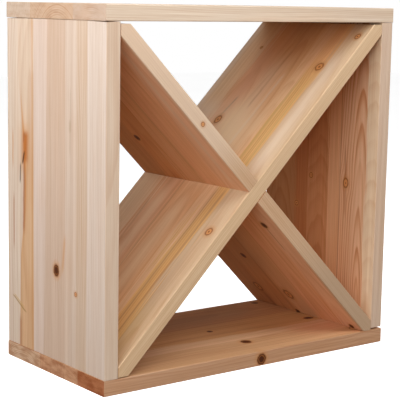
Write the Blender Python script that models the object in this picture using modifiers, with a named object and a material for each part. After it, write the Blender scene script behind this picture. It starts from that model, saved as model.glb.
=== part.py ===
"""Wine rack: a square case of fir boards with a loose crossed divider that makes four bottle cells.

Metres, +Z up. The origin is at the middle of the underside, and the open front faces -Y.
The case is dowelled and screwed. The two divider boards halve into each other, slide in from the
front as one cross, and pull out again.
"""

import math

import bmesh
import bpy

# Driving dimensions.
WIDTH = 0.500
HEIGHT = 0.500
DEPTH = 0.250
BOARD = 0.021
ARRIS = 0.0008
GAP = 0.0003

# The side boards are sawn this much short of the room between the top and the bottom board, and
# stand this far in from the ends of both.
SIDE_SHORT = {"left": 0.0012, "right": 0.0030}
SIDE_INSET = 0.0008

# Room left round the cross inside the case, so that it slides. The foot of the rising board is
# sawn a little higher than the foot of the falling board.
CROSS_ROOM_LEFT = GAP
CROSS_ROOM_RIGHT = 0.0007
CROSS_ROOM_BELOW = GAP
CROSS_ROOM_ABOVE = 0.0032
RISING_FOOT_SHORT = 0.0012

# Countersunk wood screw, 4.5 x 50 mm.
SCREW_LENGTH = 0.050
SCREW_HEAD_RADIUS = 0.0043
SCREW_HEAD_RIM = 0.0005
SCREW_SHANK_RADIUS = 0.0017
SCREW_THREAD_RADIUS = 0.00225
SCREW_CORE_RADIUS = 0.0014
SCREW_THREAD_PITCH = 0.0026
SCREW_THREAD_LENGTH = 0.0286
SCREW_TIP_LENGTH = 0.005
SCREW_SUNK = 0.0008
SCREW_STEPS = 12
RECESS_RADIUS = 0.0023
RECESS_WAIST = 0.0008
RECESS_DEPTH = 0.0024

# Fluted dowel, 8 x 30 mm.
DOWEL_RADIUS = 0.004
DOWEL_LENGTH = 0.030
DOWEL_FLUTES = 10
DOWEL_FLUTE_DEPTH = 0.0003
DOWEL_CHAMFER = 0.0007
DOWEL_IN_FACE = 0.012

HOLE_SIDES = 20

# Where the fasteners stand along the depth.
SCREW_ROWS = {"front": -0.090, "middle": 0.0, "rear": 0.090}
DOWEL_ROWS = {"front": -0.045, "rear": 0.045}

# Derived places.
HALF_WIDTH = WIDTH / 2
HALF_DEPTH = DEPTH / 2
INNER_WIDTH = WIDTH - 2 * (SIDE_INSET + BOARD)
INNER_HEIGHT = HEIGHT - 2 * BOARD
SIDE_X = {
    "left": -HALF_WIDTH + SIDE_INSET + BOARD / 2,
    "right": HALF_WIDTH - SIDE_INSET - BOARD / 2,
}
# The left board stands on the bottom board, and the right board is drawn up to the top board.
SIDE_FOOT = {"left": BOARD + GAP, "right": BOARD + SIDE_SHORT["right"]}
SIDE_HEAD = {"left": HEIGHT - BOARD - SIDE_SHORT["left"], "right": HEIGHT - BOARD - GAP}

CROSS_WIDTH = INNER_WIDTH - CROSS_ROOM_LEFT - CROSS_ROOM_RIGHT
CROSS_HEIGHT = INNER_HEIGHT - CROSS_ROOM_BELOW - CROSS_ROOM_ABOVE
CROSS_X = (CROSS_ROOM_LEFT - CROSS_ROOM_RIGHT) / 2
CROSS_Z = BOARD + CROSS_ROOM_BELOW + CROSS_HEIGHT / 2
CROSS_ANGLE = math.atan2(CROSS_HEIGHT, CROSS_WIDTH)
CROSS_DIAGONAL = math.hypot(CROSS_WIDTH, CROSS_HEIGHT)

# Colours in linear RGB, with roughness and metallic value.
FINISHES = {
    "fir_top": ((0.66, 0.47, 0.32), 0.62, 0.0),
    "fir_bottom": ((0.52, 0.31, 0.18), 0.62, 0.0),
    "fir_left": ((0.65, 0.47, 0.34), 0.62, 0.0),
    "fir_right": ((0.48, 0.26, 0.15), 0.62, 0.0),
    "fir_rising": ((0.58, 0.37, 0.21), 0.62, 0.0),
    "fir_falling": ((0.56, 0.35, 0.21), 0.62, 0.0),
    "beech_dowel": ((0.55, 0.36, 0.20), 0.70, 0.0),
    "zinc_steel": ((0.60, 0.60, 0.58), 0.32, 1.0),
}


def clear_scene():
    for obj in list(bpy.data.objects):
        bpy.data.objects.remove(obj, do_unlink=True)


def new_collection(name, parent):
    collection = bpy.data.collections.new(name)
    parent.children.link(collection)
    return collection


def make_finish(name):
    colour, roughness, metallic = FINISHES[name]
    material = bpy.data.materials.new(name)
    material.use_nodes = True
    material.diffuse_color = (*colour, 1.0)
    shader = material.node_tree.nodes["Principled BSDF"]
    shader.inputs["Base Color"].default_value = (*colour, 1.0)
    shader.inputs["Roughness"].default_value = roughness
    shader.inputs["Metallic"].default_value = metallic
    return material


def move_to(obj, collection):
    for owner in list(obj.users_collection):
        owner.objects.unlink(obj)
    collection.objects.link(obj)


def add_block(name, size, place, angle=0.0):
    """A rectangular block, turned by angle about the depth axis."""
    bpy.ops.mesh.primitive_cube_add(size=1.0, location=place)
    block = bpy.context.active_object
    block.name = name
    for vertex in block.data.vertices:
        vertex.co = [c * s for c, s in zip(vertex.co, size)]
    block.rotation_euler = (0.0, angle, 0.0)
    return block


def as_cutter(obj, collection):
    move_to(obj, collection)
    obj.hide_render = True
    obj.display_type = "WIRE"
    return obj


def add_boolean(obj, operation, operand):
    """Cuts with one object, or with every object of a collection."""
    modifier = obj.modifiers.new(operation.title(), "BOOLEAN")
    modifier.operation = operation
    modifier.solver = "EXACT"
    if isinstance(operand, bpy.types.Collection):
        modifier.operand_type = "COLLECTION"
        modifier.collection = operand
    else:
        modifier.object = operand
    return modifier


def add_arris(obj):
    """The light sanding that every board's edges get."""
    modifier = obj.modifiers.new("Arris", "BEVEL")
    modifier.width = ARRIS
    modifier.segments = 1
    modifier.limit_method = "ANGLE"
    modifier.angle_limit = math.radians(30)
    return modifier


def turned_mesh(name, profile, steps):
    """A closed solid turned about Z from (radius, height) points that run from top to bottom."""
    mesh = bpy.data.meshes.new(name + "_profile")
    points = [(radius, 0.0, height) for radius, height in profile]
    mesh.from_pydata(points, [(i, i + 1) for i in range(len(points) - 1)], [])
    turned = bpy.data.objects.new(name + "_turned", mesh)
    bpy.context.scene.collection.objects.link(turned)
    modifier = turned.modifiers.new("Turn", "SCREW")
    modifier.axis = "Z"
    modifier.steps = steps
    modifier.render_steps = steps
    modifier.use_merge_vertices = True
    modifier.merge_threshold = 0.00001
    solid = evaluated_mesh(turned, name)
    bpy.data.objects.remove(turned, do_unlink=True)
    bpy.data.meshes.remove(mesh)
    return solid


def evaluated_mesh(obj, name):
    bpy.context.view_layer.update()
    graph = bpy.context.evaluated_depsgraph_get()
    mesh = bpy.data.meshes.new_from_object(obj.evaluated_get(graph))
    mesh.name = name
    return mesh


# Fasteners. Both stand along +Z with the origin where the board faces meet.


def screw_profile():
    """Head rim, countersink, plain shank, ridged thread and tip, with z = 0 at the top of the head."""
    neck = -SCREW_HEAD_RIM - (SCREW_HEAD_RADIUS - SCREW_SHANK_RADIUS)
    tip_start = -SCREW_LENGTH + SCREW_TIP_LENGTH
    thread_start = tip_start + SCREW_THREAD_LENGTH - SCREW_TIP_LENGTH
    profile = [
        (0.0, 0.0),
        (SCREW_HEAD_RADIUS, 0.0),
        (SCREW_HEAD_RADIUS, -SCREW_HEAD_RIM),
        (SCREW_SHANK_RADIUS, neck),
        (SCREW_SHANK_RADIUS, thread_start),
    ]
    ridges = int((thread_start - tip_start) / SCREW_THREAD_PITCH)
    for ridge in range(ridges):
        root = thread_start - (ridge + 0.25) * SCREW_THREAD_PITCH
        profile.append((SCREW_CORE_RADIUS, root))
        profile.append((SCREW_THREAD_RADIUS, root - SCREW_THREAD_PITCH / 2))
    profile.append((SCREW_CORE_RADIUS, tip_start))
    profile.append((0.0, -SCREW_LENGTH))
    return profile


def screw_mesh(cutters):
    """The turned screw with its cross recess: a tapered four-pointed star sunk in the head."""
    blank = bpy.data.objects.new("screw_blank", turned_mesh("screw_blank", screw_profile(), SCREW_STEPS))
    bpy.context.scene.collection.objects.link(blank)
    star = bpy.data.meshes.new("recess_star")
    shape = bmesh.new()
    bmesh.ops.create_cone(
        shape,
        cap_ends=True,
        segments=8,
        radius1=RECESS_RADIUS * 0.45,
        radius2=RECESS_RADIUS * 1.15,
        depth=RECESS_DEPTH * 1.5,
    )
    for vertex in shape.verts:
        corner = round(math.atan2(vertex.co.y, vertex.co.x) / math.radians(45))
        if corner % 2:
            squeeze = RECESS_WAIST / vertex.co.xy.length
            vertex.co.x *= squeeze
            vertex.co.y *= squeeze
    bmesh.ops.recalc_face_normals(shape, faces=shape.faces)
    shape.to_mesh(star)
    shape.free()
    recess = as_cutter(bpy.data.objects.new("screw_recess_cutter", star), cutters)
    recess.location.z = -RECESS_DEPTH / 4
    add_boolean(blank, "DIFFERENCE", recess)
    mesh = evaluated_mesh(blank, "wood_screw")
    bpy.data.objects.remove(blank, do_unlink=True)
    mesh.shade_smooth()
    mesh.set_sharp_from_angle(angle=math.radians(35))
    return mesh


def dowel_mesh():
    """A round peg with chamfered ends and shallow glue flutes along it."""
    sides = 2 * DOWEL_FLUTES
    mesh = bpy.data.meshes.new("fluted_dowel")
    shape = bmesh.new()
    bmesh.ops.create_cone(
        shape,
        cap_ends=True,
        segments=sides,
        radius1=DOWEL_RADIUS,
        radius2=DOWEL_RADIUS,
        depth=DOWEL_LENGTH,
    )
    rims = [edge for edge in shape.edges if abs(edge.verts[0].co.z - edge.verts[1].co.z) < 1e-6]
    bmesh.ops.bevel(shape, geom=rims, offset=DOWEL_CHAMFER, segments=1, affect="EDGES")
    for vertex in shape.verts:
        corner = round(math.atan2(vertex.co.y, vertex.co.x) / (2 * math.pi / sides))
        if corner % 2:
            squeeze = 1 - DOWEL_FLUTE_DEPTH / DOWEL_RADIUS
            vertex.co.x *= squeeze
            vertex.co.y *= squeeze
    shape.to_mesh(mesh)
    shape.free()
    return mesh


def screw_hole_mesh():
    """Cutter for a clearance hole with its countersink, z = 0 at the board's face."""
    margin = 0.002
    drill = SCREW_THREAD_RADIUS + GAP
    mouth = SCREW_HEAD_RADIUS + GAP
    seat = -SCREW_SUNK - SCREW_HEAD_RIM
    profile = [
        (0.0, margin),
        (mouth, margin),
        (mouth, seat),
        (drill, seat - (mouth - drill)),
        (drill, -BOARD - margin),
        (0.0, -BOARD - margin),
    ]
    return turned_mesh("screw_hole_cutter", profile, HOLE_SIDES)


def add_drill(name, radius, low, high, x, y):
    """Cutter for a plain hole along Z between two heights."""
    bpy.ops.mesh.primitive_cylinder_add(
        vertices=HOLE_SIDES,
        radius=radius,
        depth=high - low,
        location=(x, y, (low + high) / 2),
    )
    drill = bpy.context.active_object
    drill.name = name
    return drill


# The case.


def joint_facts(level, side):
    """Outer face, sign and meeting faces of the corner joint between one side and one flat board."""
    if level == "top":
        return {"outer": HEIGHT, "up": 1, "face": HEIGHT - BOARD, "end": SIDE_HEAD[side]}
    return {"outer": 0.0, "up": -1, "face": BOARD, "end": SIDE_FOOT[side]}


def add_corner_fasteners(level, side, kit):
    """Three screws and two dowels hold each corner. Their holes go to the two boards' cutters."""
    facts = joint_facts(level, side)
    x, up = SIDE_X[side], facts["up"]
    flat_holes, side_holes = kit["holes"][level + "_panel"], kit["holes"][side + "_side_panel"]
    head = facts["outer"] - up * SCREW_SUNK
    turn = 0.0 if up > 0 else math.pi
    for row, y in SCREW_ROWS.items():
        tag = f"{level}_{side}_{row}"
        screw = bpy.data.objects.new("screw_" + tag, kit["screw"])
        kit["rack"].objects.link(screw)
        screw.location = (x, y, head)
        screw.rotation_euler = (turn, 0.0, 0.0)
        hole = bpy.data.objects.new("screw_hole_" + tag, kit["screw_hole"])
        as_cutter(hole, flat_holes)
        hole.location = (x, y, facts["outer"])
        hole.rotation_euler = (turn, 0.0, 0.0)
        tip = head - up * (SCREW_LENGTH + 2 * GAP)
        mouth = facts["end"] + up * 0.005
        pilot = add_drill(
            "pilot_" + tag, SCREW_THREAD_RADIUS + GAP, min(tip, mouth), max(tip, mouth), x, y
        )
        as_cutter(pilot, side_holes)
    for row, y in DOWEL_ROWS.items():
        tag = f"{level}_{side}_{row}"
        deep_end = facts["face"] + up * DOWEL_IN_FACE
        near_end = deep_end - up * DOWEL_LENGTH
        dowel = bpy.data.objects.new("dowel_" + tag, kit["dowel"])
        kit["rack"].objects.link(dowel)
        dowel.location = (x, y, (deep_end + near_end) / 2)
        low = min(deep_end, near_end) - 2 * GAP
        high = max(deep_end, near_end) + 2 * GAP
        for kind, owner in (("flat", flat_holes), ("end", side_holes)):
            drill = add_drill(f"dowel_{kind}_{tag}", DOWEL_RADIUS + GAP, low, high, x, y)
            as_cutter(drill, owner)


def add_case(rack, cutters, finishes):
    """Top and bottom boards run the full width, and the side boards stand between them."""
    sizes = {
        "top_panel": ((WIDTH, DEPTH, BOARD), (0.0, 0.0, HEIGHT - BOARD / 2)),
        "bottom_panel": ((WIDTH, DEPTH, BOARD), (0.0, 0.0, BOARD / 2)),
    }
    for side in SIDE_X:
        length = SIDE_HEAD[side] - SIDE_FOOT[side]
        middle = SIDE_FOOT[side] + length / 2
        sizes[side + "_side_panel"] = ((BOARD, DEPTH, length), (SIDE_X[side], 0.0, middle))
    panels = {}
    holes = {}
    for name, (size, place) in sizes.items():
        panel = add_block(name, size, place)
        move_to(panel, rack)
        add_arris(panel)
        panel.data.materials.append(finishes["fir_" + name.split("_")[0]])
        holes[name] = new_collection(name + "_holes", cutters)
        panels[name] = panel
    kit = {
        "rack": rack,
        "holes": holes,
        "screw": screw_mesh(cutters),
        "screw_hole": screw_hole_mesh(),
        "dowel": dowel_mesh(),
    }
    kit["screw"].materials.append(finishes["zinc_steel"])
    kit["dowel"].materials.append(finishes["beech_dowel"])
    for level in ("top", "bottom"):
        for side in SIDE_X:
            add_corner_fasteners(level, side, kit)
    for name, panel in panels.items():
        add_boolean(panel, "DIFFERENCE", holes[name])


# The divider.


def add_divider_board(name, angle, notch_side, foot_short, rack, cutters):
    """One diagonal board. Its ends are sawn level and plumb to sit in the corners of the case, and
    half its depth is notched at the crossing, at the rear for notch_side +1 and the front for -1.
    foot_short raises the level cut at its foot."""
    centre = (CROSS_X, 0.0, CROSS_Z)
    board = add_block(name, (CROSS_DIAGONAL + 2 * BOARD, DEPTH, BOARD), centre, angle)
    move_to(board, rack)
    room = (CROSS_WIDTH, 2 * DEPTH, CROSS_HEIGHT - foot_short)
    envelope = add_block(name + "_end_saw", room, (CROSS_X, 0.0, CROSS_Z + foot_short / 2))
    add_boolean(board, "INTERSECT", as_cutter(envelope, cutters))
    add_arris(board)
    near, far = -GAP / 2, DEPTH
    slot_place = (CROSS_X, notch_side * (near + far) / 2, CROSS_Z)
    slot_size = (4 * BOARD, far - near, BOARD + 2 * GAP)
    slot = add_block(name + "_notch_saw", slot_size, slot_place, -angle)
    add_boolean(board, "DIFFERENCE", as_cutter(slot, cutters))
    return board


def main():
    clear_scene()
    scene = bpy.context.scene
    rack = new_collection("wine_rack", scene.collection)
    cutters = new_collection("cutters", scene.collection)
    finishes = {name: make_finish(name) for name in FINISHES}
    add_case(rack, cutters, finishes)
    rising = add_divider_board(
        "divider_board_rising", -CROSS_ANGLE, 1, RISING_FOOT_SHORT, rack, cutters
    )
    rising.data.materials.append(finishes["fir_rising"])
    falling = add_divider_board("divider_board_falling", CROSS_ANGLE, -1, 0.0, rack, cutters)
    falling.data.materials.append(finishes["fir_falling"])
    # The rising board can be drawn forward out of the falling board's notch, and drawing the
    # falling board forward takes both.
    bpy.context.view_layer.update()
    rising.parent = falling
    rising.matrix_parent_inverse = falling.matrix_world.inverted()


main()
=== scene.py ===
# %% [markdown]
# # A wine rack of fir boards
#
# The rack is a square case of four boards with two crossed divider boards pushed in from the front.
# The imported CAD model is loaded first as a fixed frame. It says where every board, screw and dowel
# is, so nothing here is placed by eye. Lengths are in metres unless a name says millimetres.

import math
from collections import namedtuple

import bmesh
import bpy
from mathutils import Matrix, Vector


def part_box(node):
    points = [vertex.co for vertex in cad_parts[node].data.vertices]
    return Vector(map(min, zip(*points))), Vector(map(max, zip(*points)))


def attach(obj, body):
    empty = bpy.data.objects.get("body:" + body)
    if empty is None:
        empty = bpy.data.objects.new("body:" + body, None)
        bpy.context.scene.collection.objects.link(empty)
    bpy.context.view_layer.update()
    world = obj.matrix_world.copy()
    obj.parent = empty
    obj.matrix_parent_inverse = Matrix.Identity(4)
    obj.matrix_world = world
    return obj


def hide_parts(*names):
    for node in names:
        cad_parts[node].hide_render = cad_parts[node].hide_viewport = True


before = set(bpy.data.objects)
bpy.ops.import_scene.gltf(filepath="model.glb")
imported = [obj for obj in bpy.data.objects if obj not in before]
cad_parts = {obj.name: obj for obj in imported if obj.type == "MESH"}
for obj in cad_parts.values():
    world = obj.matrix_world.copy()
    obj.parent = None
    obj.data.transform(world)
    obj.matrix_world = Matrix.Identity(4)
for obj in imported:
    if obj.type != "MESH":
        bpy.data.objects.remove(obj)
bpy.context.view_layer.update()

# %% [markdown]
# ## Working in edit mode
#
# Each piece is made as a joiner would make it: a blank at its finished size, then sawn, eased and
# drilled. In Blender that is a primitive, a few edit mode operators, and applied modifiers.
# Operators act on whatever is selected, so these helpers always start from an empty selection.

# %% Helpers for selecting, editing and applying


def clear_selection():
    for thing in bpy.context.selected_objects:
        thing.select_set(False)


def make_active(piece):
    clear_selection()
    piece.select_set(True)
    bpy.context.view_layer.objects.active = piece


def add_block(name, size, place=(0.0, 0.0, 0.0)):
    """A rectangular blank with its size in its mesh."""
    clear_selection()
    bpy.ops.mesh.primitive_cube_add(size=1.0, location=place, scale=size)
    block = bpy.context.active_object
    block.name = name
    bpy.ops.object.transform_apply(location=False, rotation=False, scale=True)
    return block


def add_rod(name, radius, low, high, x, y, sides):
    """A round cutter standing along Z between two heights."""
    clear_selection()
    middle = (x, y, (low + high) / 2)
    bpy.ops.mesh.primitive_cylinder_add(
        vertices=sides, radius=radius, depth=high - low, location=middle
    )
    rod = bpy.context.active_object
    rod.name = name
    bpy.ops.object.transform_apply(location=True, rotation=False, scale=False)
    return rod


def select_where(piece, kind, test):
    """In edit mode, selects only the vertices, edges or faces that pass the test."""
    bpy.ops.mesh.select_mode(type=kind)
    bpy.ops.mesh.select_all(action="DESELECT")
    shape = bmesh.from_edit_mesh(piece.data)
    group = {"VERT": shape.verts, "EDGE": shape.edges, "FACE": shape.faces}[kind]
    found = 0
    for item in group:
        if test(item):
            item.select_set(True)
            found += 1
    shape.select_flush_mode()
    bmesh.update_edit_mesh(piece.data)
    return found


def saw(piece, point, normal, drop_outer=False):
    """Cuts the whole mesh along a plane. With drop_outer, what lies beyond the plane falls off."""
    bpy.ops.mesh.select_all(action="SELECT")
    bpy.ops.mesh.bisect(
        plane_co=point, plane_no=normal, use_fill=drop_outer, clear_outer=drop_outer
    )


def apply_modifier(piece, name, kind, **values):
    make_active(piece)
    modifier = piece.modifiers.new(name, kind)
    for key, value in values.items():
        setattr(modifier, key, value)
    bpy.ops.object.modifier_apply(modifier=modifier.name)


def cut_with(piece, cutter):
    """Takes the cutter's shape out of the piece and throws the cutter away."""
    apply_modifier(piece, "Cut", "BOOLEAN", operation="DIFFERENCE", solver="EXACT", object=cutter)
    bpy.data.objects.remove(cutter, do_unlink=True)


def join(parts):
    """Makes one object of the parts, in the first one's place."""
    clear_selection()
    for part in parts:
        part.select_set(True)
    bpy.context.view_layer.objects.active = parts[0]
    bpy.ops.object.join()
    return parts[0]


def settle(piece, turn, place, upside_down=False):
    """Turns a piece about the depth axis, moves it, and puts its place into its mesh."""
    make_active(piece)
    piece.rotation_euler = (math.pi if upside_down else 0.0, turn, 0.0)
    piece.location = place
    bpy.ops.object.transform_apply(location=True, rotation=True, scale=True)


def soft_shade(piece, degrees=35.0):
    make_active(piece)
    bpy.ops.object.shade_smooth_by_angle(angle=math.radians(degrees))


def report(piece):
    faces = len(piece.data.polygons)
    size = [round(1000 * side, 1) for side in piece.dimensions]
    print(piece.name, size, "mm,", faces, "faces")


# %% [markdown]
# ## Shader maths written as expressions
#
# A node material is a sum worked out at every point of a surface. Wiring dozens of Math nodes by
# hand is slow to read, so a small class wraps a node's output and turns `a * b + c` into the nodes
# that do that sum. Numbers alone stay plain Python. A second class makes every other node.

# %% A number that flows through a material


class Amount:
    def __init__(self, finish, socket):
        self.finish = finish
        self.socket = socket


def reflected(operation):
    """The operator with the Amount on its left, and the one with it on its right."""
    return (
        lambda this, other: this.finish.math(operation, this, other),
        lambda this, other: this.finish.math(operation, other, this),
    )


Amount.__add__, Amount.__radd__ = reflected("ADD")
Amount.__sub__, Amount.__rsub__ = reflected("SUBTRACT")
Amount.__mul__, Amount.__rmul__ = reflected("MULTIPLY")
Amount.__truediv__, Amount.__rtruediv__ = reflected("DIVIDE")


# %% A finish, which is one node tree


class Finish:
    def __init__(self, owner, shader="Principled BSDF"):
        """The owner is a new material, or the world."""
        owner.use_nodes = True
        self.owner = owner
        self.tree = owner.node_tree
        self.shader = self.tree.nodes[shader]

    def fill(self, slot, value):
        if isinstance(value, Amount):
            value = value.socket
        if isinstance(value, bpy.types.NodeSocket):
            self.tree.links.new(value, slot)
        else:
            slot.default_value = value

    def node(self, kind, settings=None, inputs=None):
        """Any node: its settings are set first, then its sockets get values or links."""
        made = self.tree.nodes.new("ShaderNode" + kind)
        for key, value in (settings or {}).items():
            if key == "stops":
                self.set_stops(made.color_ramp, value)
            elif key == "ramp":
                made.color_ramp.interpolation = value
            else:
                setattr(made, key, value)
        for key, value in (inputs or {}).items():
            self.fill(made.inputs[key], value)
        return made

    @staticmethod
    def set_stops(ramp, stops):
        while len(ramp.elements) < len(stops):
            ramp.elements.new(1.0)
        for element, (position, colour) in zip(ramp.elements, stops):
            element.position = position
            element.color = colour

    def math(self, operation, first, second=0.0):
        made = self.node("Math", {"operation": operation}, {0: first, 1: second})
        return Amount(self, made.outputs[0])

    def smooth(self, value, low, high, start=0.0, end=1.0):
        """Goes from start to end in a soft S while value goes from low to high."""
        made = self.node(
            "MapRange",
            {"interpolation_type": "SMOOTHSTEP"},
            {"Value": value, "From Min": low, "From Max": high, "To Min": start, "To Max": end},
        )
        return Amount(self, made.outputs["Result"])

    def bell(self, squared):
        """1 where the squared distance is 0, fading out smoothly."""
        return self.math("POWER", math.exp(-1.0), squared)

    def noise(self, vector, scale, detail=2.0, roughness=0.5):
        """Noise about 0, from -0.5 to 0.5, with a scale for each axis."""
        stretched = self.node("VectorMath", {"operation": "MULTIPLY"}, {0: vector, 1: scale})
        fine = {"Scale": 1.0, "Detail": detail, "Roughness": roughness}
        made = self.node("TexNoise", None, {"Vector": stretched.outputs[0], **fine})
        return Amount(self, made.outputs["Fac"]) - 0.5

    def noise_along(self, value, scale, detail=1.0):
        """Noise about 0 that changes along one number only."""
        made = self.node(
            "TexNoise", {"noise_dimensions": "1D"}, {"W": value, "Scale": scale, "Detail": detail}
        )
        return Amount(self, made.outputs["Fac"]) - 0.5

    def blend(self, amount, under, over, kind="MIX"):
        """Lays one colour over another by an amount."""
        made = self.node(
            "Mix", {"data_type": "RGBA", "blend_type": kind, "clamp_factor": True}, {0: amount}
        )
        self.fill(made.inputs[6], under)
        self.fill(made.inputs[7], over)
        return made.outputs[2]

    def surface(self, **values):
        for key, value in values.items():
            self.fill(self.shader.inputs[key.replace("_", " ")], value)


# %% [markdown]
# ## Solid wood
#
# A wood pattern that is painted on a face stops at its edges and looks like a sticker. Real boards
# are sawn out of a log, so the rings on a face, an edge and an end belong to the same cylinders.
# This finish works the same way. Each board is glued up from staves, and each stave has the place
# of its log's heart, the width of its rings and its own tint. The distance to the heart gives the
# rings, on the faces as long grain and on the ends as arcs. Knots push the rings aside. Everything
# is in the board's own millimetres: u along the grain, v across the staves, w through the board.

# %% Colours and measures of the wood

HALF_DEPTH_MM = 125.0
HEART_REACH = 400.0
WIDEST_RING = 10.0

LATE_WOOD = (0.74, 0.52, 0.36, 1.0)
END_WOOD = (0.72, 0.52, 0.36, 1.0)
END_BLOTCH = (0.62, 0.42, 0.30, 1.0)
FIBRE_DARK = (0.80, 0.70, 0.60, 1.0)
DARK_LINE = (0.84, 0.74, 0.64, 1.0)
PALE_LINE = (1.12, 1.14, 1.16, 1.0)
WARM_PATCH = (1.0, 0.90, 0.80, 1.0)
# A plainer colour for one face of a board. On the top board's upper face it is also painted shade.
PLAIN_WOOD_AND_SHADE = (0.74, 0.58, 0.45, 1.0)

KNOT_HEART = (0.085, 0.024, 0.009)
KNOT_RED = (0.32, 0.11, 0.03)
KNOT_PALE = (0.70, 0.31, 0.10)
KNOT_RIM = (0.05, 0.014, 0.006)
KNOT_HALO = (0.60, 0.27, 0.085)

RESIN_ORANGE = (*KNOT_HALO, 1.0)
RESIN_GOLD = (0.62, 0.40, 0.14, 1.0)
RESIN_RED = (0.42, 0.15, 0.06, 1.0)
RESIN_DEEP = (0.50, 0.17, 0.04, 1.0)
RESIN_OLIVE = (0.40, 0.23, 0.07, 1.0)
RESIN_DARK = (0.085, 0.026, 0.008, 1.0)
CRACK_DARK = (*KNOT_RIM, 1.0)
ORANGE_STAIN = (0.95, 0.76, 0.56, 1.0)
# Pale wood, and on the rising board's rear edge a painted highlight.
PALE_STREAK_AND_HIGHLIGHT = (0.88, 0.74, 0.60, 1.0)
BUTTER_STREAK = (0.95, 0.76, 0.50, 1.0)
ROSE_STREAK = (0.74, 0.40, 0.26, 1.0)
# The next two are rose and red wood colours, and are also painted shade at the rising board's top
# end.
ROSE_WOOD_AND_SHADE = (0.86, 0.43, 0.25, 1.0)
HEART_RED_AND_SHADE = (0.42, 0.18, 0.08, 1.0)
# Painted shade: a brown laid over the parts of boards that the case shades.
PAINTED_SHADE_BROWN = (0.42, 0.25, 0.14, 1.0)
GREY_MARK = (0.47, 0.34, 0.23, 1.0)

# One strip of a board. Its heart is measured from the middle of the board, in millimetres.
Stave = namedtuple("Stave", "front tint heart ring contrast end", defaults=(None,))

# A branch that runs through the board. Stretch draws it out along the grain. On the front edge, v
# is the height across the edge.
Knot = namedtuple("Knot", "u v radius stretch live on_edge", defaults=(1.0, False, False))

# A line or band of colour along the grain, between two places, that may slope and waver.
Streak = namedtuple(
    "Streak", "start end width colour strength waver fade depth", defaults=(0.8, 1.0, 12.0, 0.0)
)


# %% The parts of the wood finish


def stave_ramp(finish, across, staves, colour_of):
    stops = [((stave.front / HALF_DEPTH_MM + 1) / 2, colour_of(stave)) for stave in staves]
    stops[0] = (0.0, stops[0][1])
    return finish.node("ValToRGB", {"stops": stops, "ramp": "CONSTANT"}, {"Fac": across})


def heart_colour(stave):
    v, w = stave.heart
    return (v / HEART_REACH + 0.5, w / HEART_REACH + 0.5, stave.ring / WIDEST_RING, stave.contrast)


def end_colour(stave):
    return (*(stave.end or [part * dark for part, dark in zip(stave.tint, END_WOOD)]), 1.0)


def push_aside(finish, u, v, knots):
    """Bends the grain round each knot, by drawing the points near it towards its middle."""
    bent = v
    for knot in [knot for knot in knots if not knot.on_edge]:
        along = (u - knot.u) * (1 / (3.2 * knot.radius * knot.stretch))
        off = v - knot.v
        over = off * (1 / (2.4 * knot.radius))
        near = finish.bell(along * along + over * over)
        bent = bent - off * near * 0.85
    return bent


def knot_distance(finish, place, knots, jitter):
    """How many radii the nearest knot's middle is away."""
    u, v, w = place
    nearest = None
    for knot in knots:
        along = (u - knot.u) * (1 / (knot.radius * knot.stretch))
        over = ((w if knot.on_edge else v) - knot.v) * (1 / knot.radius)
        squared = along * along + over * over
        if knot.on_edge:
            inward = (v + HALF_DEPTH_MM) * (1 / (2.5 * knot.radius))
            squared = squared + inward * inward
        distance = finish.math("SQRT", squared) + jitter
        nearest = distance if nearest is None else finish.math("MINIMUM", nearest, distance)
    return nearest


def streak_amount(finish, u, v, streak, seed):
    """1 on the streak's middle line, fading to its sides and its ends."""
    (u0, v0), (u1, v1) = streak.start, streak.end
    line = (u - u0) * ((v1 - v0) / (u1 - u0)) + v0
    if streak.waver:
        line = line + finish.noise_along(u + seed, 0.035, 2.0) * (3.0 * streak.waver)
    off = (v - line) * (1 / streak.width)
    ends = finish.smooth(u, u0 - streak.fade, u0 + streak.fade / 2) * finish.smooth(
        u, u1 - streak.fade / 2, u1 + streak.fade, 1.0, 0.0
    )
    return finish.bell(off * off) * ends


# %% Knots
# Each stop has its place in radii, its colour and how much of it covers the wood.

KNOT_REACH = 2.2
LIVE_KNOT = [
    (0.0, KNOT_RED, 1.0),
    (0.2, KNOT_RED, 0.9),
    (0.34, KNOT_PALE, 0.9),
    (0.68, KNOT_PALE, 0.85),
    (0.86, KNOT_RED, 0.95),
    (1.02, KNOT_RED, 0.85),
    (1.3, KNOT_HALO, 0.35),
    (KNOT_REACH, KNOT_HALO, 0.0),
]
DEAD_KNOT = [
    (0.0, KNOT_HEART, 1.0),
    (0.6, KNOT_HEART, 1.0),
    (0.75, KNOT_RED, 1.0),
    (0.95, KNOT_RIM, 1.0),
    (1.12, KNOT_RED, 0.85),
    (1.4, KNOT_HALO, 0.4),
    (KNOT_REACH, KNOT_HALO, 0.0),
]


def paint_knots(finish, colour, distance, live):
    """Dead knots are dark right through with a black rim. Live ones are pale in a brown ring."""
    share = finish.math("MINIMUM", distance * (1 / KNOT_REACH), 1.0)
    table = LIVE_KNOT if live else DEAD_KNOT
    stops = [(place / KNOT_REACH, (*paint, cover)) for place, paint, cover in table]
    ramp = finish.node("ValToRGB", {"stops": stops, "ramp": "LINEAR"}, {"Fac": share})
    amount = Amount(finish, ramp.outputs["Alpha"])
    return finish.blend(amount, colour, ramp.outputs["Color"]), amount


# %% Rings and tints


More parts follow.
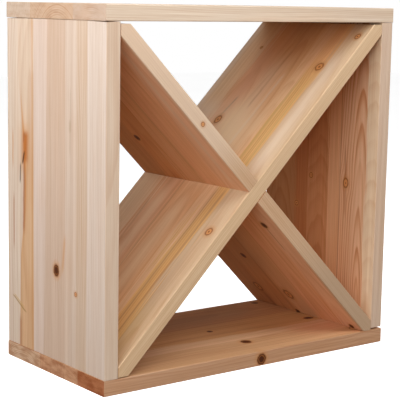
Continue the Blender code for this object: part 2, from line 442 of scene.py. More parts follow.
def lay_out(finish, place, turn, seed):
    """The place of each point in the board's own millimetres, and how far it is on an end."""
    here = finish.node("TexCoord")
    local = finish.node(
        "Mapping",
        {"vector_type": "TEXTURE"},
        {"Vector": here.outputs["Object"], "Location": place, "Rotation": (0.0, turn, 0.0)},
    )
    scaled = finish.node(
        "VectorMath", {"operation": "SCALE"}, {0: local.outputs[0], "Scale": 1000.0}
    ).outputs[0]
    axes = finish.node("SeparateXYZ", None, {0: scaled})
    place_mm = [Amount(finish, axes.outputs[i]) for i in range(3)]
    spot = finish.node(
        "VectorMath", {"operation": "ADD"}, {0: scaled, 1: (seed, 2 * seed, 3 * seed)}
    ).outputs[0]
    facing = finish.node(
        "VectorMath",
        {"operation": "DOT_PRODUCT"},
        {0: here.outputs["Normal"], 1: (math.cos(turn), 0.0, -math.sin(turn))},
    )
    lengthwise = finish.math("ABSOLUTE", Amount(finish, facing.outputs["Value"]))
    return place_mm, spot, finish.smooth(lengthwise, 0.25, 0.95)


YEAR_STOPS = [(0.0, 0.25), (0.08, 0.0), (0.45, 0.12), (0.85, 1.0), (0.95, 0.9), (1.0, 0.25)]


def year_rings(finish, place, spot, hearts, knots, seed, taper):
    """How much late wood there is: none in a year's spring wood, and most just before winter."""
    u, v, w = place
    heart = finish.node("SeparateColor", None, {0: hearts.outputs["Color"]})
    heart_v = (Amount(finish, heart.outputs[0]) - 0.5) * HEART_REACH
    heart_w = (Amount(finish, heart.outputs[1]) - 0.5) * HEART_REACH
    ring = Amount(finish, heart.outputs[2]) * WIDEST_RING

    # A log is never straight: its heart wanders along the board, more so from face to face.
    own = heart_v * 3.1 + seed
    wander_v = finish.noise_along(u * 0.0022 + own, 1.0) * 10.0
    wander_w = finish.noise_along(u * 0.0026 + own + 40.0, 1.0) * 14.0
    ripple = finish.noise(spot, (0.004, 0.05, 0.05), 2.0) * 2.6
    side = push_aside(finish, u, v, knots) - heart_v + wander_v
    deep = w - heart_w + wander_w + u * taper
    radius = finish.math("SQRT", side * side + deep * deep) + ripple

    count = radius / ring
    stops = [(step, (grey, grey, grey, 1.0)) for step, grey in YEAR_STOPS]
    growth = finish.node(
        "ValToRGB", {"ramp": "LINEAR", "stops": stops}, {"Fac": finish.math("FRACT", count)}
    )
    year = finish.node(
        "TexWhiteNoise", {"noise_dimensions": "1D"}, {"W": finish.math("FLOOR", count) + own}
    )
    harshness = Amount(finish, year.outputs["Value"]) * 0.7 + 0.3
    return Amount(finish, growth.outputs["Color"]) * harshness


def stained_tint(finish, across, spot, staves, ragged):
    """The tint of each stave. Where it is ragged the tints run into each other in streaks."""
    blur = finish.noise(spot, (0.004, 0.5, 0.5), 3.0, 0.65)
    blur = blur + finish.noise(spot, (0.006, 0.06, 0.06))
    stained = across + blur * (ragged / HALF_DEPTH_MM)
    return stave_ramp(finish, stained, staves, lambda stave: (*stave.tint, 1.0)).outputs["Color"]


# %% The wood finish of one board


def wood(
    name, place, turn, staves, edge, knots=(), streaks=(), seed=0.0, taper=0.02, ragged=0.0,
    figure=1.0, plain_side=0, mottle=0.3, lean=None, extra=None,
):
    """place and turn are the board's middle in metres and its turn about the depth axis, and edge
    is the tint of its front edge. ragged is how far, in millimetres, the tints run into each other
    in streaks. figure is how strong the fine lines are. plain_side is the face, +1 or -1, that has
    less colour. mottle is how blotched the end grain is."""
    finish = Finish(bpy.data.materials.new(name))
    place_mm, spot, end = lay_out(finish, place, turn, seed)
    u, v, w = place_mm
    glued = v if lean is None else v + lean(finish, u, v)
    across = (glued + HALF_DEPTH_MM) * (1 / (2 * HALF_DEPTH_MM))
    hearts = stave_ramp(finish, across, staves, heart_colour)
    contrast = Amount(finish, hearts.outputs["Alpha"])
    late = year_rings(finish, place_mm, spot, hearts, knots, seed, taper)

    tint = stained_tint(finish, across, spot, staves, ragged)
    if plain_side:
        # On the top board this blend is painted shade: its upper face is darkened against the strong
        # light from above.
        tint = finish.blend(finish.smooth(w * plain_side, 2.0, 9.0) * 0.65, tint, PLAIN_WOOD_AND_SHADE)
    at_edge = finish.smooth(v, -124.6, -123.9, 1.0, 0.0)
    tint = finish.blend(at_edge, tint, (*edge, 1.0))
    tint = finish.blend(end, tint, stave_ramp(finish, across, staves, end_colour).outputs["Color"])
    colour = finish.blend(late * (contrast + end * 0.3), tint, LATE_WOOD, "MULTIPLY")

    lines = finish.noise(spot, (0.0025, 0.16, 0.16), 4.0, 0.6)
    fine = finish.noise(spot, (0.006, 0.55, 0.55), 3.0, 0.6)
    fibre = finish.noise(spot, (0.03, 1.6, 1.6), 2.0)
    patch = finish.noise(spot, (0.006, 0.03, 0.03), 2.0)
    calm = (1.0 - end * 0.75) * (1.0 - at_edge * 0.15) * (patch * 1.6 + 1.0) * figure
    for noise, strength in ((lines, 1.5), (fine, 1.4)):
        tone = finish.blend(noise * calm * strength + 0.5, DARK_LINE, PALE_LINE)
        colour = finish.blend(1.0, colour, tone, "MULTIPLY")
    blotch = finish.smooth(finish.noise(spot, (0.1, 0.045, 0.16), 3.0, 0.55), -0.14, 0.22)
    for amount, tone in (
        (finish.smooth(fibre, -0.05, 0.35) * 0.4, FIBRE_DARK),
        (finish.smooth(patch, -0.05, 0.3) * 0.6, WARM_PATCH),
        (blotch * end * mottle, END_BLOTCH),
    ):
        colour = finish.blend(amount, colour, tone, "MULTIPLY")
    if extra is not None:
        colour = extra(finish, colour, u, v)

    height = late * 0.018 + fibre * 0.006 + lines * 0.012
    gloss = late * -0.07 + fibre * 0.12 + 0.6
    for index, streak in enumerate(streaks):
        amount = streak_amount(finish, u, v, streak, seed + 13.0 * index)
        colour = finish.blend(amount * streak.strength, colour, streak.colour)
        if streak.depth:
            height = height - amount * streak.depth
            gloss = gloss - amount * 0.25
    jitter = finish.noise(spot, (0.25, 0.25, 0.25), 1.0) * 0.35
    for live in (False, True):
        group = [knot for knot in knots if knot.live == live]
        if group:
            distance = knot_distance(finish, place_mm, group, jitter)
            colour, amount = paint_knots(finish, colour, distance, live)
            rim = finish.bell((distance - 1.0) * (distance - 1.0) * 60.0)
            height = height - rim * 0.12 + amount * 0.02
            gloss = gloss - amount * 0.12
    # Light planer marks run across the grain.
    planed = finish.math("SINE", u * 1.9 + patch * 3.0) * 0.0025
    relief = finish.node(
        "Bump", None, {"Strength": 1.0, "Distance": 0.001, "Height": height + planed}
    )
    finish.surface(Base_Color=colour, Roughness=gloss, Normal=relief.outputs["Normal"])
    finish.shader.inputs["Specular IOR Level"].default_value = 0.22
    print(name, "has", len(finish.tree.nodes), "nodes")
    return finish.owner


# %% [markdown]
# ## The boards
#
# Every board is edge-glued from a few staves, 21 mm thick. It starts as a block that lies flat in
# its own frame. Its long edges are eased, its glue lines are sawn into the mesh and opened to
# hairline grooves, and it is then turned and moved to its place. The holes for the fasteners are
# drilled last, in place, where the CAD screws and dowels are. The finish is laid on by the same
# turn and place, so that the rings run on from the faces to the edges and the ends.

# %% Measures of the boards

MM = 0.001
CORNERS = [f"{level}_{side}" for level in ("top", "bottom") for side in ("left", "right")]
SCREW_ROWS = ("front", "middle", "rear")
DOWEL_ROWS = ("front", "rear")

EDGE_EASE = 1.1 * MM
END_EASE = 0.4 * MM
GROOVE_HALF = 0.2 * MM
GROOVE_DEPTH = 0.12 * MM
CROWN = 0.9 * MM

low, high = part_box("top_panel")
BOARD_DEPTH = high[1] - low[1]
BOARD = high[2] - low[2]
print("boards:", round(1000 * BOARD, 2), "mm thick,", round(1000 * BOARD_DEPTH, 1), "mm deep")


def middle_of(node):
    lowest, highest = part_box(node)
    return tuple((a + b) / 2 for a, b in zip(lowest, highest))


def height_of(node):
    lowest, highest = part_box(node)
    return highest[2] - lowest[2]


# %% A plank with eased edges and glue lines


def runs_along(edge, length):
    return abs(edge.verts[0].co.x - edge.verts[1].co.x) > 0.9 * length


def around_end(edge, length):
    at_end = all(abs(abs(vert.co.x) - length / 2) < 1e-6 for vert in edge.verts)
    return at_end and any(abs(face.normal.x) < 0.5 for face in edge.link_faces)


def plank(name, length, staves, end_ease=END_EASE):
    """An eased blank with a glue line in front of each of these staves."""
    board = add_block(name, (length, BOARD_DEPTH, BOARD))
    make_active(board)
    bpy.ops.object.mode_set(mode="EDIT")
    select_where(board, "EDGE", lambda edge: runs_along(edge, length))
    bpy.ops.mesh.bevel(offset=EDGE_EASE, segments=3, affect="EDGES")
    if end_ease:
        select_where(board, "EDGE", lambda edge: around_end(edge, length))
        bpy.ops.mesh.bevel(offset=end_ease, segments=2, affect="EDGES")
    for stave in staves:
        open_glue_line(board, stave.front * MM)
    bpy.ops.object.mode_set(mode="OBJECT")
    return board


def open_glue_line(board, seam):
    """Cuts the mesh along a glue line and sinks a hairline groove into both faces."""
    saw(board, (0.0, seam, 0.0), (0.0, 1.0, 0.0))
    face = BOARD / 2 - 1e-5

    def on_line(vert):
        return abs(vert.co.y - seam) < 1e-6 and abs(vert.co.z) > face

    select_where(board, "EDGE", lambda edge: all(on_line(vert) for vert in edge.verts))
    bpy.ops.mesh.bevel(offset=GROOVE_HALF, segments=2, affect="EDGES")
    for side in (1, -1):
        select_where(board, "VERT", lambda vert: on_line(vert) and vert.co.z * side > 0)
        bpy.ops.transform.translate(value=(0.0, 0.0, -side * GROOVE_DEPTH))


def crown_end(board, length, lift):
    """The upper end is a little long in its middle and along its inner face, so that the joint
    over it opens only at the front and the rear, and only from outside."""
    make_active(board)
    bpy.ops.object.mode_set(mode="EDIT")
    select_where(
        board,
        "VERT",
        lambda vert: vert.co.x > length / 2 - MM and (abs(vert.co.y) < 0.11 or vert.co.z < 0.0),
    )
    bpy.ops.transform.translate(value=(lift, 0.0, 0.0))
    bpy.ops.object.mode_set(mode="OBJECT")


def finish_board(board, node, body, material):
    """Even shading, one material, and the board's place in the frame."""
    soft_shade(board)
    apply_modifier(board, "Even", "WEIGHTED_NORMAL", mode="FACE_AREA", weight=100, keep_sharp=True)
    board.data.materials.clear()
    board.data.materials.append(material)
    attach(board, body)
    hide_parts(node)
    report(board)


# %% [markdown]
# ## Holes for the fasteners
#
# Each corner of the case is held by three countersunk screws and two dowels. The holes are turned
# cutters: a disc is extruded upwards step by step, and scaled at each step to the next radius.

# %% Turned shapes and the drills

DRILL_SIDES = 40
SCREW_ROOM = 0.3 * MM
SCREW_HEAD = 4.3 * MM
SCREW_THREAD = 2.25 * MM
SEAT_DEPTH = 1.3 * MM
DOWEL_RADIUS = 4.0 * MM


def turned(name, profile, sides):
    """A solid turned about Z from (radius, height) steps that run upwards."""
    clear_selection()
    radius, height = profile[0]
    bpy.ops.mesh.primitive_circle_add(
        vertices=sides, radius=radius, fill_type="NGON", location=(0.0, 0.0, height)
    )
    shape = bpy.context.active_object
    shape.name = name
    bpy.ops.object.transform_apply(location=True, rotation=False, scale=False)
    bpy.ops.object.mode_set(mode="EDIT")
    bpy.ops.mesh.select_all(action="SELECT")
    for next_radius, next_height in profile[1:]:
        bpy.ops.mesh.extrude_region_move(
            TRANSFORM_OT_translate={"value": (0.0, 0.0, next_height - height)}
        )
        grow = next_radius / radius
        bpy.ops.transform.resize(value=(grow, grow, 1.0), center_override=(0.0, 0.0, next_height))
        radius, height = next_radius, next_height
    bpy.ops.mesh.select_all(action="SELECT")
    bpy.ops.mesh.normals_make_consistent(inside=False)
    bpy.ops.object.mode_set(mode="OBJECT")
    return shape


def screw_drill(corner, row):
    """A clearance hole through the flat board, with its countersink."""
    x, y, _ = middle_of(f"screw_{corner}_{row}")
    through, mouth = SCREW_THREAD + SCREW_ROOM, SCREW_HEAD + SCREW_ROOM
    seat = -SEAT_DEPTH
    steps = [
        (through, -BOARD - 2 * MM),
        (through, seat - (mouth - through)),
        (mouth, seat),
        (mouth, 2 * MM),
    ]
    drill = turned("drill", steps, DRILL_SIDES)
    at_top = corner.startswith("top")
    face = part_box(corner.split("_")[0] + "_panel")[1 if at_top else 0][2]
    settle(drill, 0.0, (x, y, face), upside_down=not at_top)
    return drill


def straight_drill(node, radius, spare):
    """A plain hole round a screw or dowel, a little longer than it."""
    lowest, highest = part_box(node)
    x, y, _ = middle_of(node)
    return add_rod("drill", radius, lowest[2] - spare, highest[2] + spare, x, y, DRILL_SIDES)


def drill_board(board, corners, flat):
    drills = []
    for corner in corners:
        for row in SCREW_ROWS:
            if flat:
                drills.append(screw_drill(corner, row))
            else:
                pilot = SCREW_THREAD + SCREW_ROOM
                drills.append(straight_drill(f"screw_{corner}_{row}", pilot, SCREW_ROOM))
        for row in DOWEL_ROWS:
            node = f"dowel_{corner}_{row}"
            drills.append(straight_drill(node, DOWEL_RADIUS + SCREW_ROOM, 2 * SCREW_ROOM))
    count = len(drills)
    cut_with(board, join(drills))
    print(board.name, "is drilled", count, "times")


# %% [markdown]
# ## Top board
#
# The top board lies over the side boards. It is pale, with long straight grain along its front
# edge, and its left end shows three staves cut from different parts of the log.

# %% The top board

FLAT = 0.0
UPRIGHT = -math.pi / 2

TOP_EDGE = (0.78, 0.70, 0.60)
top_staves = [
    Stave(-125, (0.83, 0.87, 0.89), (-90, -60), 2.4, 0.35, end=(0.62, 0.53, 0.46)),
    Stave(-48, (0.86, 0.83, 0.65), (-10, -45), 3.2, 0.5, end=(0.63, 0.50, 0.39)),
    Stave(60, (0.80, 0.70, 0.58), (150, 20), 2.2, 0.4, end=(0.66, 0.59, 0.52)),
]
top_knots = [
    Knot(-118, -70, 6, live=True),
    Knot(96, 24, 7),
    Knot(205, 92, 5, live=True),
    Knot(-30, 88, 4),
]
top_streaks = [
    Streak((-240, -20), (-40, -14), 2.5, HEART_RED_AND_SHADE, 0.35),
    Streak((20, 72), (240, 78), 3.0, RESIN_GOLD, 0.4),
]
top_middle = middle_of("top_panel")
top_length = 2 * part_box("top_panel")[1][0]
top_board = plank("top_board", top_length, top_staves[1:])
settle(top_board, FLAT, top_middle)
drill_board(top_board, ["top_left", "top_right"], flat=True)
# plain_side=1 paints shade on the upper face. It is made darker against the light from the lamps
# above.
fir_top = wood(
    "fir_top_board", top_middle, FLAT, top_staves, TOP_EDGE, top_knots, top_streaks,
    seed=11.0, plain_side=1,
)
finish_board(top_board, "top_panel", "case", fir_top)

# %% [markdown]
# ## Bottom board
#
# The bottom board carries the side boards. It is darker and redder at its ends, with a band of
# lighter wood in front and a knot right in the middle of its front edge.

# %% The bottom board

BOTTOM_EDGE = (0.62, 0.40, 0.26)
bottom_staves = [
    Stave(-125, (0.69, 0.44, 0.25), (-60, -50), 3.0, 0.45, end=(0.49, 0.22, 0.11)),
    Stave(-62, (0.75, 0.51, 0.32), (-20, -70), 2.6, 0.45, end=(0.64, 0.40, 0.26)),
    Stave(-33, (0.66, 0.38, 0.18), (-140, -20), 3.4, 0.5, end=(0.66, 0.43, 0.29)),
    Stave(35, (0.60, 0.32, 0.16), (80, -60), 3.0, 0.45, end=(0.72, 0.57, 0.44)),
]
bottom_knots = [
    Knot(20, 2, 4),
    Knot(28, -73, 7),
    Knot(200, -16, 5, stretch=1.6),
    Knot(215, 22, 4),
    Knot(215, -103, 8, live=True),
    Knot(195, 108, 5),
    Knot(14, -1, 7, on_edge=True),
]
bottom_streaks = [
    Streak((150, -70), (240, -66), 30.0, ROSE_WOOD_AND_SHADE, 0.5, fade=50.0),
    # Painted shade: a darker brown band over the rear half of the upper face.
    Streak((-200, 62), (150, 70), 34.0, PAINTED_SHADE_BROWN, 0.35, fade=50.0),
    Streak((-60, -14), (120, -18), 2.4, HEART_RED_AND_SHADE, 0.35, waver=0.6),
    Streak((-150, -88), (20, -84), 2.0, HEART_RED_AND_SHADE, 0.3, waver=0.6),
]
bottom_middle = middle_of("bottom_panel")
bottom_board = plank("bottom_board", top_length, bottom_staves[1:])
settle(bottom_board, FLAT, bottom_middle)
drill_board(bottom_board, ["bottom_left", "bottom_right"], flat=True)
fir_bottom = wood(
    "fir_bottom_board", bottom_middle, FLAT, bottom_staves, BOTTOM_EDGE, bottom_knots,
    bottom_streaks, seed=23.0, ragged=14.0, plain_side=-1, mottle=0.8,
)
finish_board(bottom_board, "bottom_panel", "case", fir_bottom)

# %% [markdown]
# ## Left side board
#
# The board that is seen most. Six staves stand side by side: pale and tan, a narrow orange one with
# resin in it, and pinkish wood behind. The seam between the last two wavers, because it is a
# sapwood line and not a glue line, so it is painted along a curve.

# %% The left side board

SAPWOOD_LINE = [
    (0.0, 0.92), (0.3, 0.90), (0.4, 0.79), (0.55, 0.76), (0.7, 0.86), (0.82, 0.96), (1.0, 0.95)
]


def left_lean(finish, u, v):
    """The glue line near v = 22 leans a little from bottom to top."""
    near = (v - 22.0) * (1 / 18.0)
    return u * (5.0 / 230.0) * finish.bell(near * near)


def left_sapwood(finish, colour, u, v):
    """Orange wood in front of a wavering line, strongest in the lower half of the board."""
    stops = [(height, (share, share, share, 1.0)) for height, share in SAPWOOD_LINE]
    curve = finish.node(
        "ValToRGB", {"ramp": "B_SPLINE", "stops": stops}, {"Fac": (u + 250.0) * (1 / 500.0)}
    )
    line = Amount(finish, curve.outputs["Color"]) * 100.0
    off = v - line
    lower = finish.smooth(u, -20.0, 150.0, 1.0, 0.2)
    stained = lower * finish.smooth(v, 53.0, 56.0) * finish.smooth(off, -1.0, 1.2, 1.0, 0.0)
    colour = finish.blend(stained, colour, finish.blend(1.0, colour, ORANGE_STAIN, "MULTIPLY"))
    rim = (off + 1.6) * (1 / 2.4)
    middle_part = finish.smooth(u, -110.0, 20.0) * finish.smooth(u, 60.0, 150.0, 1.0, 0.0)
    rim_colour = finish.bell(rim * rim) * (middle_part * 0.8 + lower * 0.12)
    return finish.blend(rim_colour, colour, RESIN_ORANGE)


LEFT_EDGE = (0.76, 0.66, 0.56)
left_staves = [
    Stave(-125, (0.73, 0.67, 0.63), (-190, 10), 2.6, 0.3),
    Stave(-82, (0.68, 0.58, 0.49), (-20, -40), 3.2, 0.4),
    Stave(-55, (0.71, 0.63, 0.57), (-110, -24), 2.8, 0.35),
    Stave(-28, (0.68, 0.57, 0.49), (80, -34), 3.0, 0.35),
    Stave(22, (0.75, 0.67, 0.63), (150, 10), 2.4, 0.3),
    Stave(52, (0.76, 0.69, 0.62), (60, -80), 3.4, 0.4),
]
left_knots = [
    Knot(-104, -6, 6, stretch=1.25),
    Knot(-128, -55, 3.0, live=True),
]
left_streaks = [
    Streak((-240, 56), (240, 57), 2.2, RESIN_ORANGE, 0.5, waver=0.4),
    Streak((-229, 90), (-190, 90), 3.0, RESIN_RED, 0.6),
    Streak((-60, 80), (36, 79), 2.8, RESIN_RED, 0.85),
    Streak((24, 80), (80, 77), 13.0, RESIN_ORANGE, 0.4, waver=0.2, fade=14.0),
    Streak((36, 77), (72, 75), 7.5, RESIN_DEEP, 1.0, waver=0.2, fade=8.0, depth=0.1),
    Streak((32, 83), (46, 79), 1.9, RESIN_DARK, 1.0, waver=0.2, fade=4.0),
    Streak((62, 80), (72, 79), 1.9, RESIN_RED, 1.0, waver=0.2, fade=4.0),
    Streak((6, 90), (28, 89), 1.5, RESIN_DARK, 0.85, waver=0.2, fade=6.0),
    Streak((86, -40), (98, -40), 3.0, GREY_MARK, 0.55, waver=0.2, fade=5.0),
    Streak((58, -40), (136, -41), 1.3, GREY_MARK, 0.45, waver=0.2),
    Streak((-85, 108), (-20, 108), 1.7, RESIN_RED, 0.7, waver=0.4),
    Streak((30, 110), (70, 110), 1.4, RESIN_ORANGE, 0.7, waver=0.3),
    Streak((-100, -22), (-60, -27), 3.0, RESIN_ORANGE, 0.5, waver=0.3),
    Streak((-177, 77), (-160, 109), 2.6, RESIN_OLIVE, 0.9, waver=0.0, fade=2.0),
    Streak((-171, 82), (-158, 106), 2.0, RESIN_GOLD, 0.8, waver=0.0, fade=2.0),
]
left_middle = middle_of("left_side_panel")
left_length = height_of("left_side_panel")
left_board = plank("left_side_board", left_length, left_staves[1:])
crown_end(left_board, left_length, CROWN)
settle(left_board, UPRIGHT, left_middle)
drill_board(left_board, ["top_left", "bottom_left"], flat=False)
fir_left = wood(
    "fir_left_board", left_middle, UPRIGHT, left_staves, LEFT_EDGE, left_knots, left_streaks,
    seed=37.0, figure=0.6, plain_side=-1, lean=left_lean, extra=left_sapwood,
)
finish_board(left_board, "left_side_panel", "case", fir_left)

# %% [markdown]
# ## Right side board
#
# Its inner face is seen through the case. The front half is a stave with strong arching grain, cut
# close to the outside of its log, and the rest is redder.

# %% The right side board

RIGHT_EDGE = (0.75, 0.63, 0.53)
right_staves = [
    Stave(-125, (0.85, 0.72, 0.55), (-112, -60), 2.8, 0.3),
    Stave(-102, (0.83, 0.56, 0.38), (-90, -6), 4.4, 1.0),
    Stave(-47, (0.82, 0.50, 0.30), (60, -20), 3.4, 0.45),
    Stave(-20, (0.66, 0.33, 0.16), (0, -80), 3.2, 0.45),
    Stave(25, (0.56, 0.24, 0.10), (160, 0), 3.0, 0.45),
    Stave(55, (0.54, 0.27, 0.12), (90, -60), 3.2, 0.45),
]
right_knots = [
    Knot(-15, -60, 5.2, stretch=1.35, live=True),
    Knot(-60, 50, 4, live=True),
    Knot(-12, 18, 4, live=True),
]
right_streaks = [
    Streak((-238, -47), (238, -47), 0.8, RESIN_RED, 0.6, waver=0.1),
    Streak((-225, -112), (-180, -112), 6.0, RESIN_ORANGE, 0.3),
    Streak((-8, -59), (34, -57), 1.3, RESIN_RED, 0.6, waver=0.3),
    Streak((-60, -60), (-22, -60), 1.3, RESIN_RED, 0.5, waver=0.3),
]
right_middle = middle_of("right_side_panel")
right_board = plank("right_side_board", height_of("right_side_panel"), right_staves[1:])
settle(right_board, UPRIGHT, right_middle)
drill_board(right_board, ["top_right", "bottom_right"], flat=False)
fir_right = wood(
    "fir_right_board", right_middle, UPRIGHT, right_staves, RIGHT_EDGE, right_knots,
    right_streaks, seed=53.0, taper=0.09, ragged=10.0, figure=0.75, plain_side=-1,
)
finish_board(right_board, "right_side_panel", "case", fir_right)

# %% [markdown]
# ## The crossed divider
#
# Two boards run from corner to corner. Each is a long plank, turned to the diagonal and then sawn
# level and plumb where it meets the case, so that its ends are points. They cross in a half-lap:
# the rising board is notched from the rear and the falling one from the front.

# %% Sawing and notching a divider board

cross_low, cross_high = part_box("divider_board_falling")
CROSS_WIDTH = cross_high[0] - cross_low[0]
CROSS_HEIGHT = cross_high[2] - cross_low[2]
CROSS_ANGLE = math.atan2(CROSS_HEIGHT, CROSS_WIDTH)
CROSS_MIDDLE = middle_of("divider_board_falling")
LAP_GAP = 0.15 * MM
NOTCH_ROOM = 0.6 * MM
print("cross at", round(math.degrees(CROSS_ANGLE), 3), "degrees, middle", CROSS_MIDDLE)


def divider(name, node, turn, staves, notch_side):
    """A plank on the diagonal, sawn level and plumb at the case and notched from one side."""
    length = math.hypot(CROSS_WIDTH, CROSS_HEIGHT) + 2 * BOARD
    board = plank(name, length, staves, end_ease=0.0)
    settle(board, turn, CROSS_MIDDLE)
    lowest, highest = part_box(node)
    bpy.ops.object.mode_set(mode="EDIT")
    for axis in (0, 2):
        for corner, way in ((lowest, -1.0), (highest, 1.0)):
            normal = [0.0, 0.0, 0.0]
            normal[axis] = way
            saw(board, tuple(corner), tuple(normal), drop_outer=True)
    bpy.ops.object.mode_set(mode="OBJECT")
    limits = {"limit_method": "ANGLE", "angle_limit": math.radians(40)}
    apply_modifier(board, "Ease", "BEVEL", width=END_EASE, segments=2, **limits)
    notch_depth = BOARD_DEPTH + LAP_GAP
    notch = add_block("notch", (4 * BOARD, notch_depth, BOARD + NOTCH_ROOM))
    x, y, z = CROSS_MIDDLE
    settle(notch, -turn, (x, notch_side * (notch_depth / 2 - LAP_GAP), z))
    cut_with(board, notch)
    return board


# %% The rising board

RISING_EDGE = (0.77, 0.61, 0.42)
rising_staves = [
    Stave(-125, (0.73, 0.58, 0.41), (-104, -70), 2.8, 0.35),
    Stave(-80, (0.85, 0.59, 0.28), (-180, 0), 4.5, 0.6),
    Stave(-52, (0.90, 0.65, 0.42), (-44, -70), 2.6, 0.35),
    Stave(-36, (0.86, 0.56, 0.33), (-6, -70), 2.8, 0.4),
    Stave(25, (0.83, 0.51, 0.31), (50, -60), 3.2, 0.45),
    Stave(72, (0.88, 0.67, 0.46), (170, -10), 2.6, 0.4),
]
rising_knots = [
    Knot(-85, -104, 6, live=True),
    Knot(224, -77, 7, live=True),
    Knot(287, -108, 5, live=True),
    Knot(106, 52, 6.0, stretch=1.2, live=True),
    Knot(255, 80, 2.4, live=True),
]
rising_streaks = [
    Streak((-300, -60), (-20, -59), 2.2, HEART_RED_AND_SHADE, 0.5, waver=0.5),
    Streak((-300, -75), (-20, -76), 2.0, HEART_RED_AND_SHADE, 0.5, waver=0.5),
    Streak((20, -57), (190, -57), 1.8, RESIN_GOLD, 0.6, waver=0.4, fade=50.0),
    Streak((20, -77), (190, -77), 1.8, RESIN_GOLD, 0.6, waver=0.4, fade=50.0),
    # Painted shade: the next two bands darken and redden the top end, under the top board.
    Streak((230, -66), (340, -66), 18.0, ROSE_WOOD_AND_SHADE, 0.5, fade=60.0),
    Streak((275, -66), (345, -66), 24.0, HEART_RED_AND_SHADE, 0.35, fade=40.0),
    Streak((96, 56), (150, 47), 1.8, CRACK_DARK, 0.8, waver=0.3, fade=8.0, depth=0.2),
    Streak((10, 84), (130, 92), 30.0, PALE_STREAK_AND_HIGHLIGHT, 0.5, fade=30.0),
    Streak((70, 44), (250, 56), 16.0, ROSE_STREAK, 0.5, fade=40.0),
    Streak((40, 8), (220, 12), 22.0, PALE_STREAK_AND_HIGHLIGHT, 0.35, fade=40.0),
    # Painted highlight: a pale strip along the upper arm's rear edge, where light from behind
    # catches it.
    Streak((30, 119), (300, 119), 7.0, PALE_STREAK_AND_HIGHLIGHT, 0.6, fade=20.0),
    Streak((30, -101), (240, -99), 12.0, PALE_STREAK_AND_HIGHLIGHT, 0.5, fade=30.0),
    Streak((20, 20), (130, 30), 34.0, BUTTER_STREAK, 0.6, fade=50.0),
    Streak((10, -10), (110, -10), 26.0, BUTTER_STREAK, 0.5, fade=50.0),
    Streak((-330, 40), (-40, 46), 11.0, BUTTER_STREAK, 0.45, fade=40.0),
    Streak((-330, -8), (-60, -6), 12.0, BUTTER_STREAK, 0.4, fade=40.0),
    Streak((-340, -95), (-230, -95), 16.0, RESIN_GOLD, 0.4, fade=40.0),
    # Painted shade: the next two bands darken the top end, under the top board.
    Streak((240, 0), (340, 6), 54.0, HEART_RED_AND_SHADE, 0.5, fade=60.0),
    Streak((285, -98), (340, -98), 12.0, HEART_RED_AND_SHADE, 0.25, fade=25.0),
    Streak((-200, 20), (-10, 22), 1.6, HEART_RED_AND_SHADE, 0.4, waver=0.6),
    Streak((-260, 60), (-60, 66), 2.2, HEART_RED_AND_SHADE, 0.35, waver=0.6),
    Streak((140, 8), (280, 4), 2.4, HEART_RED_AND_SHADE, 0.35, waver=0.6),
    Streak((40, -12), (200, -16), 3.0, PALE_STREAK_AND_HIGHLIGHT, 0.4, waver=0.6),
]


def rising_lean(finish, u, v):
    """The gold stave widens towards the foot of the board."""
    near = (v + 85.0) * (1 / 16.0)
    lower_arm = finish.smooth(u, -240.0, -40.0, 12.0, 0.0)
    return lower_arm * finish.bell(near * near)


# The gold stave has no sawn line, because its edge wanders.
rising_board = divider("rising_board", "divider_board_rising", -CROSS_ANGLE, rising_staves[2:], 1)
fir_rising = wood(
    "fir_rising_board", CROSS_MIDDLE, -CROSS_ANGLE, rising_staves, RISING_EDGE, rising_knots,
    rising_streaks, seed=71.0, ragged=24.0, figure=0.65, plain_side=-1, lean=rising_lean,
)
finish_board(rising_board, "divider_board_rising", "rising_divider", fir_rising)

# %% The falling board

FALLING_EDGE = (0.70, 0.54, 0.39)
falling_staves = [
    Stave(-125, (0.90, 0.59, 0.40), (-100, 60), 2.8, 0.35),
    Stave(-80, (0.89, 0.54, 0.33), (-50, 70), 2.8, 0.45),
    Stave(-30, (0.82, 0.51, 0.30), (-150, 10), 3.2, 0.4),
    Stave(15, (0.73, 0.39, 0.19), (40, 70), 2.8, 0.45),
    Stave(68, (0.64, 0.34, 0.17), (160, 20), 2.8, 0.4),
]
falling_knots = [
    Knot(-97, 57, 5),
    Knot(68, -92, 5),
    Knot(172, 42, 5),
    Knot(260, 5, 8, stretch=1.3, live=True),
    Knot(262, 80, 8, stretch=1.3, live=True),
    Knot(308, 20, 4),
    Knot(306, -103, 4),
    Knot(-137, 0, 3, live=True, on_edge=True),
]
falling_streaks = [
    Streak((72, -92), (120, -93), 1.6, HEART_RED_AND_SHADE, 0.6, waver=0.4),
    Streak((-250, -20), (-40, -26), 2.4, HEART_RED_AND_SHADE, 0.3, waver=0.6),
    Streak((120, 20), (300, 26), 3.0, HEART_RED_AND_SHADE, 0.35, waver=0.6),
    Streak((266, 80), (310, 76), 4.0, HEART_RED_AND_SHADE, 0.7, waver=0.4),
    Streak((-300, -98), (-30, -100), 5.0, PALE_STREAK_AND_HIGHLIGHT, 0.3, waver=0.6),
    # Painted shade: the lower arm is painted darker brown next to the crossing.
    Streak((30, 24), (190, 36), 46.0, PAINTED_SHADE_BROWN, 0.42, fade=50.0),
    Streak((170, -126), (330, -126), 6.0, GREY_MARK, 0.6, waver=0.0, fade=80.0),
    Streak((-330, -126), (-90, -126), 6.0, PALE_STREAK_AND_HIGHLIGHT, 0.4, waver=0.0, fade=60.0),
]
falling_board = divider(
    "falling_board", "divider_board_falling", CROSS_ANGLE, falling_staves[1:], -1
)
fir_falling = wood(
    "fir_falling_board", CROSS_MIDDLE, CROSS_ANGLE, falling_staves, FALLING_EDGE, falling_knots,
    falling_streaks, seed=89.0, ragged=24.0, figure=0.65, plain_side=1,
)
finish_board(falling_board, "divider_board_falling", "falling_divider", fir_falling)

